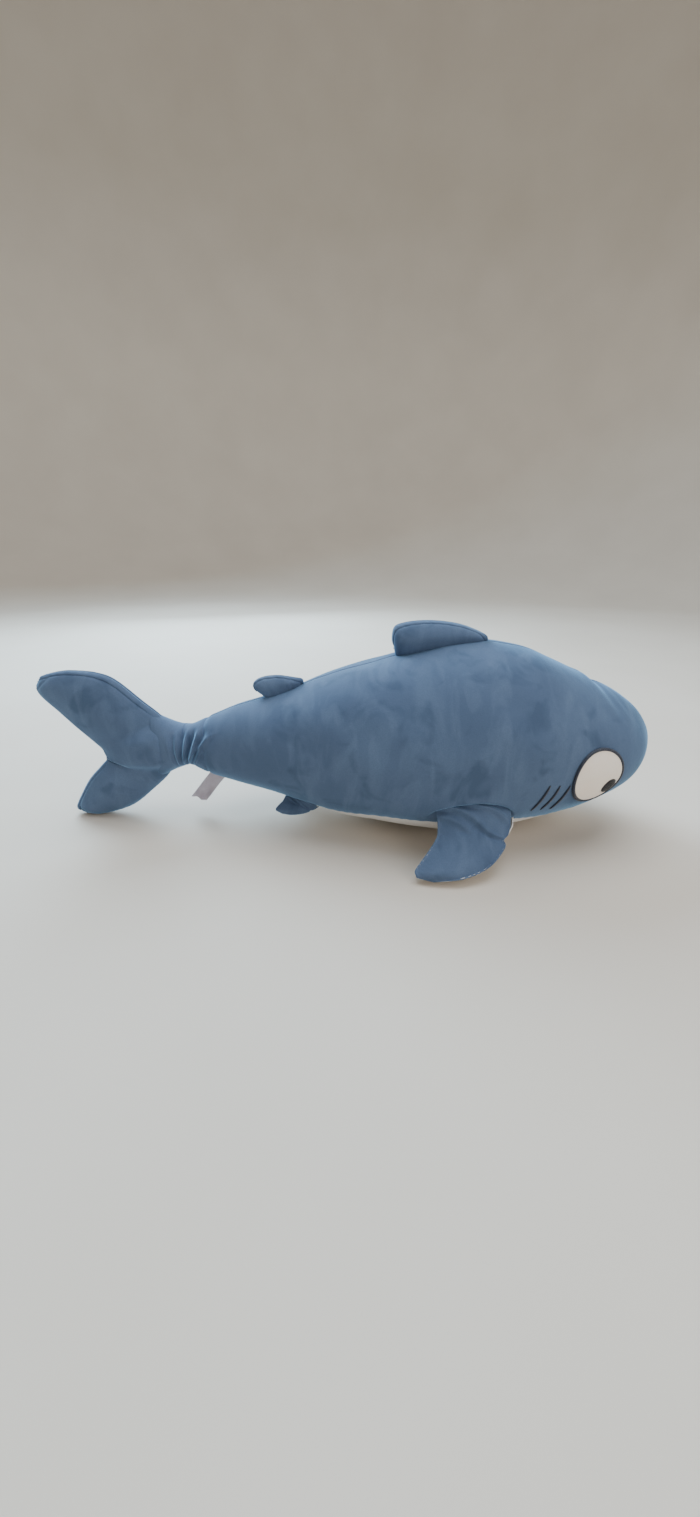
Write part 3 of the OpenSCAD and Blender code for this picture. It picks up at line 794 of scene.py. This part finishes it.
# Rows of the tail, as shares of its reach and height: from the tip of the lower lobe to the tip
# of the upper one. The first edge runs by the neck and the second by the notch.
TAIL_SHARES = [
    (0.860, 0.010, 0.905, 0.045, 0.04, 0),
    (0.660, 0.010, 0.840, 0.130, 0.60, 0),
    (0.400, 0.070, 0.725, 0.260, 0.82, 0),
    (0.190, 0.190, 0.610, 0.350, 0.92, 0),
    (0.000, 0.330, 0.545, 0.400, 0.80, 0),
    (0.000, 0.430, 0.535, 0.420, 0.66, 0.92),
    (0.000, 0.512, 0.540, 0.445, 0.62, 1.10),
    (0.000, 0.600, 0.560, 0.490, 0.66, 0.92),
    (0.000, 0.690, 0.620, 0.545, 0.84, 0),
    (0.150, 0.800, 0.725, 0.635, 0.92, 0),
    (0.395, 0.962, 0.845, 0.740, 0.82, 0),
    (0.690, 1.000, 0.960, 0.840, 0.56, 0),
    (0.935, 0.972, 1.000, 0.910, 0.04, 0),
]
TAIL_BULGE = 20 * MM
TAIL_REACH = TAIL_ROOT_X - TAIL_TIP_X
TAIL_HEIGHT = TAIL_TOP / highest(TAIL_SHARES, 1)


def tail():
    """The tail fin: two panels with rolled seams and a crease from the neck to the notch."""
    rows = [
        [TAIL_ROOT_X - TAIL_REACH * s[0], TAIL_HEIGHT * s[1],
         TAIL_ROOT_X - TAIL_REACH * s[2], TAIL_HEIGHT * s[3],
         TAIL_BULGE * s[4], TAIL_BULGE * s[5]]
        for s in TAIL_SHARES
    ]
    for name, side in (("right", 1), ("left", -1)):
        points, q, u = fin_grid(rows, MIDDLE_PLANE, side, 260, 110)
        first, last = from_edges(points)
        rise = stuffed_relief(points, 11)
        upper = ramp(q, 8.2, 9.0)
        lower = 1 - ramp(q, 3.3, 4.2)
        rise += groove(first, 9 * MM, 1.8 * MM, 1.7 * MM, 0.9 * MM) * upper
        rise += groove(last, 8 * MM, 1.3 * MM, 1.9 * MM, 1.1 * MM) * lower
        crease = q + 1.5 * (1 - u)
        folded = 3.6 * MM * bell(crease - 4.75, 0.30) - 1.2 * MM * bell(crease - 5.2, 0.30)
        rise -= folded * ramp(u, 0.42, 0.95)
        rise -= 1.3 * MM * (bell(q - 11.5, 0.11) + bell(q - 0.45, 0.11)) * np.sin(math.pi * u)
        shaped = neck_folds(points + MIDDLE_PLANE[3] * (side * rise)[..., None])
        outer = shaped[:, ::-1] if side > 0 else shaped
        panel = sheet_mesh(f"tail_cloth_{name}", outer, BLUE, thin(outer, MIDDLE_PLANE))
        dress(panel, "blue_velour", "tail", f"tail_panel_{name}")
    fin_fill("tail_fill", "tail", "tail_stuffing", rows, MIDDLE_PLANE)


def back_height(x):
    """The height of the top of the back at a place along the body."""
    return float(skin(station_at(x), 90)[2])


# Rows of a fin on the back, from its rear edge to its front: the root's place, the free edge's
# place and its height above the back, then its share of the bulge.
DORSAL_SHARES = [
    (0.00, -0.04, 0.50, 0.04),
    (0.05, -0.02, 0.92, 0.62),
    (0.13, 0.06, 1.00, 0.90),
    (0.30, 0.24, 0.95, 1.00),
    (0.50, 0.46, 0.79, 0.95),
    (0.70, 0.68, 0.57, 0.75),
    (0.87, 0.86, 0.33, 0.55),
    (1.00, 1.00, 0.12, 0.04),
]
REAR_DORSAL_SHARES = [
    (0.00, -0.25, 0.50, 0.04),
    (0.06, -0.28, 0.85, 0.75),
    (0.16, -0.19, 1.00, 1.00),
    (0.33, 0.02, 1.00, 1.00),
    (0.55, 0.36, 0.80, 0.85),
    (0.78, 0.73, 0.42, 0.60),
    (1.00, 1.00, 0.14, 0.04),
]
ROOT_DEPTH = 3 * MM
JOINT_GAP = 1.2 * MM

# Where a fin on the back starts, as a share of the torso's length, then its length, its height, its
# half thickness, how far its sewn line is from its edge, and the seed of its lumps.
DORSAL = (0.427, 110 * MM, 33 * MM, 17 * MM, 9 * MM, 21)
REAR_DORSAL = (0.141, 48 * MM, 23 * MM, 8 * MM, 5 * MM, 22)


def back_fin(name, shares, place, length, height, bulge, seam_at, seed):
    """A fin on the back: its root is sewn a little way into the body, and its base is full."""
    start = REAR_X + place * TORSO_LENGTH
    rows = []
    for root, free, tall, full in shares:
        root_x = start + root * length
        free_x = start + free * length
        rows.append([root_x, back_height(root_x) + JOINT_GAP, free_x,
                     back_height(free_x) + JOINT_GAP + tall * height, bulge * full])
    axis = np.array(JOINTS[f"{name}_flop"]["axis"], float)
    up = unit(np.array([-axis[2], 0, axis[0]]) * np.sign(axis[0]))
    for which, side in (("right", 1), ("left", -1)):
        points, q, u = fin_grid(rows, MIDDLE_PLANE, side, 130, 74)
        _, last = from_edges(points)
        rise = stuffed_relief(points, seed, 0.7 * MM)
        rise += groove(last, seam_at, 1.5 * MM, 1.5 * MM, 0.8 * MM)
        base = 0.42 * bulge * bell(u, 0.42) * np.sin(math.pi * q / (len(rows) - 1)) ** 0.7
        points = points + MIDDLE_PLANE[3] * (side * (rise + base))[..., None]
        sunk = ROOT_DEPTH + 7 * MM * (points[..., 1] / bulge) ** 2 * 0.5
        points = points - up * (sunk * bell(u, 0.16))[..., None]
        outer = points[:, ::-1] if side > 0 else points
        panel = sheet_mesh(f"{name}_cloth_{which}", outer, BLUE, thin(outer, MIDDLE_PLANE))
        dress(panel, "blue_velour", None, f"{name}_panel_{which}")
        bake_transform(panel)
    fin_fill(f"{name}_fill", f"{name}_fin", f"{name}_stuffing", rows, MIDDLE_PLANE, root=0.32)


tail()
back_fin("dorsal", DORSAL_SHARES, *DORSAL)
back_fin("rear_dorsal", REAR_DORSAL_SHARES, *REAR_DORSAL)


# ---------------------------------------------------------------- fins on the sides

# Rows of a fin on the side, from its root to its tip, as shares of its root and its reach. The
# first edge is the rear one.
PECTORAL_SHARES = [
    (-0.49, 0.00, 0.49, 0.00, 0.05),
    (-0.48, 0.05, 0.48, 0.05, 0.72),
    (-0.48, 0.15, 0.46, 0.15, 1.00),
    (-0.53, 0.33, 0.37, 0.33, 0.85),
    (-0.65, 0.54, 0.30, 0.53, 0.70),
    (-0.76, 0.71, 0.08, 0.80, 0.62),
    (-0.83, 0.83, -0.25, 0.96, 0.50),
    (-0.81, 0.92, -0.60, 0.99, 0.04),
]
PELVIC_SHARES = [
    (-0.50, 0.00, 0.52, 0.00, 0.04),
    (-0.56, 0.28, 0.37, 0.32, 0.95),
    (-0.63, 0.55, 0.12, 0.68, 1.00),
    (-0.68, 0.80, -0.20, 0.93, 0.85),
    (-0.66, 0.93, -0.46, 1.00, 0.04),
]
TIP_RISE = 7.3 * MM
PECTORAL_ABOVE = 8
PECTORAL_REACH = 75 * MM
PECTORAL_BULGE = 13 * MM
PELVIC_ABOVE = 4
PELVIC_REACH = 22 * MM
PELVIC_BULGE = 5 * MM
PELVIC_DROOP = math.radians(50)


def side_plane(x, above, droop):
    """A fin's plane on the right side, some degrees above the seam, leaning down from the level."""
    q = station_at(x)
    angle = seam_angle(q) + above
    along = unit(skin(q + 0.2, angle) - skin(q - 0.2, angle))
    down = np.array([0, -math.cos(droop), -math.sin(droop)])
    out = unit(down - (down @ along) * along)
    return np.array([skin(q, angle) + JOINT_GAP * out, along, out, np.cross(out, along)])


def side_rows(shares, root, reach, bulge):
    return [(root * s[0], reach * s[1], root * s[2], reach * s[3], bulge * s[4]) for s in shares]


def rooted(points, place, fin, spread):
    """Draws the fabric near a fin's root up into the groove on the body."""
    share, root, lift, _ = fin
    local = points - place[0]
    centre = station_at(place[0][0])
    q = centre + local @ place[1] / per_station(centre, seam_angle(centre))
    angle, _ = root_arch(q, share, root, lift)
    target = surface(q, angle, -0.6 * MM)
    out = local @ place[2]
    near = 1 - ramp(out, 0, spread)
    full = 5.5 * MM * bell(out - 0.35 * spread, 0.30 * spread) * (root / PECTORAL_ROOT[1]) ** 2
    puffed = points + place[3] * full[..., None]
    return puffed * (1 - near[..., None]) + (target + place[3] * full[..., None] * 0.4) * near[..., None]


# The wrinkles at a side fin's root, which fan out from its rear end: where each starts and ends
# along the root, how far out it is at each end, and its depth and width, as shares.
WRINKLES = [
    (-0.46, 0.20, 0.035, 0.32, 1.00, 0.026),
    (-0.16, 0.42, 0.045, 0.19, 0.95, 0.022),
    (-0.47, -0.12, 0.14, 0.26, 0.75, 0.024),
    (-0.30, 0.40, 0.010, 0.055, 0.70, 0.018),
    (0.10, 0.46, 0.30, 0.37, 0.45, 0.025),
]


def root_folds(points, place, root, reach, height):
    """Folds that the fin's weight pulls into its fabric, each a valley with a soft crest below."""
    local = points - place[0]
    along = local @ place[1] / root
    out = local @ place[2] / reach
    rise = np.zeros(along.shape)
    for start, end, near, far, depth, width in WRINKLES:
        t = (along - start) / (end - start)
        centre = near + (far - near) * np.clip(t, 0, 1) ** 1.3
        fade = ramp(t, -0.15, 0.12) * (1 - ramp(t, 0.72, 1.12))
        valley = bell(out - centre, width)
        crest = 0.6 * bell(out - centre - 2.1 * width, 1.5 * width)
        rise -= depth * (valley - crest) * fade
    return height * rise


def side_fin(name, shares, fin, above, droop, reach, bulge, under, folds):
    """A fin on each side: a blue top, an underside, and the fill between them."""
    root = fin[1]
    rows = side_rows(shares, root, reach, bulge)
    place = side_plane(REAR_X + fin[0] * TORSO_LENGTH, above, droop)
    for part, side in (("top", 1), ("underside", -1)):
        points, q, u = fin_grid(rows, place, side, 140, 84)
        rise = stuffed_relief(points, 31 + side, 0.6 * MM)
        edge = np.minimum(*from_edges(points))
        tips = np.clip((len(rows) - 1 - q) / 0.8, 0, 1)
        wrinkles = root_folds(points, place, root, reach, folds) * ramp(edge, 0, 8 * MM) * tips
        points = points + place[3] * (side * rise * tips)[..., None]
        curl = 3.8 * MM * (bulge / PECTORAL_BULGE) * bell(edge, 3.6 * MM) * tips
        points = points + place[3] * curl[..., None]
        out = (points - place[0]) @ place[2] / reach
        notch = 3.2 * MM * bell(out - 0.37, 0.05) * ramp(u, 0.80, 1.0)
        points = points - place[1] * (notch * root / PECTORAL_ROOT[1])[..., None]
        if side > 0:
            points = rooted(points, place, fin, 0.30 * reach)
            points = points + normals(points[:, ::-1])[:, ::-1] * wrinkles[..., None]
        points[..., 2] = np.maximum(points[..., 2], 0.5 * MM)
        outer = points if side > 0 else points[:, ::-1]
        for which, mirrored in MIRRORED:
            body = f"{name}_{which}"
            cloth, slot = (BLUE, "blue_velour") if side > 0 or under == "blue" else (WHITE, "white_velour")
            panel = sheet_mesh(
                f"{name}_{part}_cloth_{which}", outer, cloth, thin(outer, place), mirrored=mirrored
            )
            dress(panel, slot, None, f"{body}_{part}")
            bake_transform(panel)
    for which, mirrored in MIRRORED:
        body = f"{name}_{which}"
        fin_fill(f"{name}_fill_{which}", body, f"{body}_stuffing", rows, place,
                 inset=folds + 2.2 * MM, mirrored=mirrored)


def side_fins():
    """Both pairs. The front pair droops until its tips are near the floor."""
    q = station_at(REAR_X + PECTORAL_ROOT[0] * TORSO_LENGTH)
    drop = float(skin(q, seam_angle(q) + PECTORAL_ABOVE)[2]) - TIP_RISE
    droop = math.asin(drop / (PECTORAL_REACH + JOINT_GAP))
    side_fin("pectoral", PECTORAL_SHARES, PECTORAL_ROOT, PECTORAL_ABOVE, droop,
             PECTORAL_REACH, PECTORAL_BULGE, "white", 3.6 * MM)
    side_fin("pelvic", PELVIC_SHARES, PELVIC_ROOT, PELVIC_ABOVE, PELVIC_DROOP,
             PELVIC_REACH, PELVIC_BULGE, "blue", 0.8 * MM)


side_fins()


# ---------------------------------------------------------------- the gathered neck


NECK_WAIST = 28.3 * MM


def hoop_curve(t, inset):
    """The neck's cover as hoops: the place, middle height, half height and half width of each."""
    first = BODY[0]
    hoops = np.array([
        [REAR_X + 5 * MM, (first[1] + first[3]) / 2, 37.2 * MM, 35.6 * MM],
        [REAR_X - 1 * MM, (first[1] + first[3]) / 2, 36.4 * MM, 34.2 * MM],
        [REAR_X * 0.45 + PIVOT[0] * 0.55, PIVOT[2], NECK_WAIST + 2.0 * MM, NECK_WAIST + 1.5 * MM],
        [PIVOT[0], PIVOT[2], NECK_WAIST, NECK_WAIST],
        [TAIL_ROOT_X * 0.45 + PIVOT[0] * 0.55, PIVOT[2], NECK_WAIST + 2.5 * MM, NECK_WAIST - 0.5 * MM],
        [TAIL_ROOT_X, PIVOT[2], 38.2 * MM, 25.6 * MM],
        [TAIL_ROOT_X - 12 * MM, PIVOT[2], 46.0 * MM, 20.0 * MM],
    ])
    hoops[0, 2:] -= 1.8 * MM
    hoops[:, 2:] -= inset
    return open_spline(hoops, t * (len(hoops) - 1))


def neck_grid(low, high, rings, columns=200, inset=0.0):
    """Rings round the neck from one share of its length to another."""
    t = np.linspace(low, high, rings)
    hoop = hoop_curve(t, inset)[:, None, :]
    turn = np.linspace(0, 2 * math.pi, columns, endpoint=False)[None, :]
    points = np.stack([
        np.broadcast_to(hoop[..., 0], (rings, columns)),
        -hoop[..., 3] * np.cos(turn),
        hoop[..., 1] + hoop[..., 2] * np.sin(turn),
    ], axis=-1)
    return points


def neck():
    """Two sleeves that meet at the pivot round the neck, and the wad of fill inside them."""
    middle = tuple(PIVOT)
    for part, low, high, bodies, ends in (
        ("front", 0.0, 0.515, ("torso", "tail_neck"), ((REAR_X, PIVOT[1], PIVOT[2]), middle)),
        ("rear", 0.5, 1.0, ("tail_neck", "tail"), (middle, (TAIL_ROOT_X, PIVOT[1], PIVOT[2]))),
    ):
        points = neck_grid(low, high, 90, inset=0.5 * MM if part == "front" else 0.0)
        outer = neck_folds(points)
        sleeve = sheet_mesh(f"neck_sleeve_{part}", outer[::-1], BLUE, wrap=True)
        dress(sleeve, "blue_velour", None, "neck_cover")
        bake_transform(sleeve)
    a = np.linspace(-0.96, 0.96, 30)
    turn = np.linspace(0, 2 * math.pi, 48, endpoint=False)
    radius = 0.82 * NECK_RADIUS
    rings = np.stack([
        np.broadcast_to(PIVOT[0] - radius * a[:, None], (30, 48)),
        -radius * np.sqrt(1 - a[:, None] ** 2) * np.cos(turn)[None, :],
        PIVOT[2] + radius * np.sqrt(1 - a[:, None] ** 2) * np.sin(turn)[None, :],
    ], axis=-1)
    wad = solid_mesh("neck_fill", rings[::-1], FILL)
    dress(wad, "fibre_fill", "tail_neck", "neck_wad")


neck()


# ---------------------------------------------------------------- the care label

LABEL_WIDTH = 20 * MM
LABEL_LENGTH = 52 * MM
LABEL_LEAN = math.radians(39)
LABEL_CLOTH = 0.22 * MM
LABEL_FOLD = 0.9 * MM


def label():
    """A blank ribbon, folded in two and sewn in by both ends, that hangs with a soft curl."""
    way = np.array([-math.sin(LABEL_LEAN), 0, -math.cos(LABEL_LEAN)])
    back = skin(0, -90) - [0, 0, JOINT_GAP]
    front = skin(station_at(REAR_X + LABEL_WIDTH), -90) - [0, 0, JOINT_GAP]
    t = np.linspace(0, 1, 150)
    bend = 0.03
    down = LABEL_LENGTH * (1 - np.abs(2 * t - 1))
    turn = np.clip((t - 0.5) / bend, -1, 1)
    apart = LABEL_FOLD * np.sin(turn * math.pi / 2)
    v = np.linspace(0, 1, 22)[None, :]
    length = down[:, None] * np.ones_like(v)
    points = back + (front - back) * v[..., None] + way * length[..., None]
    share = length / LABEL_LENGTH
    points[..., 1] += apart[:, None] + 3.5 * MM * np.sin(share * 2.6) * np.sin(v * 2.2 + 0.4)
    crumple = 2.1 * MM * np.sin(share * 7 + v * 5) + 1.3 * MM * np.sin(v * 11 - share * 9)
    points[..., 1] += crumple * share
    ribbon_piece = sheet_mesh("label_ribbon", points, RIBBON, LABEL_CLOTH)
    dress(ribbon_piece, "label_ribbon", "care_label", "care_label")


label()


# ---------------------------------------------------------------- floor, light and camera


def floor_material():
    n = Nodes("floor")
    cloud = n.spread(n.noise(3, 3, 0.5), 0.3, 0.7)
    color = n.mix(cloud, (0.68, 0.61, 0.53), (0.72, 0.65, 0.57))
    return n.finish(color, Roughness=0.75)


def add_floor():
    """A wide round floor whose rim curves up into a plain wall all round."""
    bend = np.linspace(0, math.pi / 2, 14)
    reach = np.concatenate([[0.001, 1.0, 2.0], 2.6 + 1.4 * np.sin(bend), [4.0]])
    height = np.concatenate([[0, 0, 0], 1.4 - 1.4 * np.cos(bend), [4.5]])
    turn = np.linspace(0, 2 * math.pi, 96, endpoint=False)
    grid = np.stack([
        np.outer(reach, np.cos(turn)), np.outer(reach, np.sin(turn)), np.outer(height, np.ones(96)),
    ], axis=-1)
    floor = make_mesh("floor", grid.reshape(-1, 3), quads(len(reach), 96, True), floor_material())


def add_light(name, place, aim, size, power, color):
    lamp = bpy.data.lights.new(name, "AREA")
    lamp.energy = power
    lamp.size = size
    lamp.color = color
    made = bpy.data.objects.new(name, lamp)
    made.visible_camera = False
    bpy.context.scene.collection.objects.link(made)
    way = np.array(aim, float) - np.array(place, float)
    flat = math.hypot(way[0], way[1])
    made.location = place
    made.rotation_euler = (math.atan2(flat, -way[2]), 0, math.atan2(way[0], -way[1]) + math.pi)


def add_lights():
    add_light("window", (-1.0, 1.5, 1.6), (-0.08, 0, 0.12), 1.3, 74, (0.60, 0.82, 1.0))
    add_light("back", (-0.5, 1.6, 0.8), (0, 0, 0.15), 1.2, 18, (0.60, 0.82, 1.0))
    add_light("ceiling", (0.2, 0.2, 2.6), (0, 0, 0.1), 2.0, 60, (0.84, 0.93, 1.0))
    add_light("room", (1.5, -1.5, 1.3), (0.1, 0, 0.1), 1.8, 19, (1.0, 0.96, 0.92))
    world = bpy.data.worlds.new("studio")
    world.use_nodes = True
    sky = world.node_tree.nodes["Background"]
    sky.inputs["Color"].default_value = (0.90, 0.88, 0.84, 1)
    sky.inputs["Strength"].default_value = 0.36
    bpy.context.scene.world = world


# The camera stands in front of the shark's right side and looks down at it.
CAMERA_PLACE = (0.0065, -0.616, 0.357)
CAMERA_PITCH = 24
LENS_MM = 11.984


def add_camera():
    lens = bpy.data.cameras.new("camera")
    lens.sensor_width = 36
    lens.lens = LENS_MM
    camera = bpy.data.objects.new("camera", lens)
    camera.location = CAMERA_PLACE
    camera.rotation_euler = (math.radians(90 - CAMERA_PITCH), 0, 0)
    bpy.context.scene.collection.objects.link(camera)
    bpy.context.scene.camera = camera


add_floor()
add_lights()
add_camera()
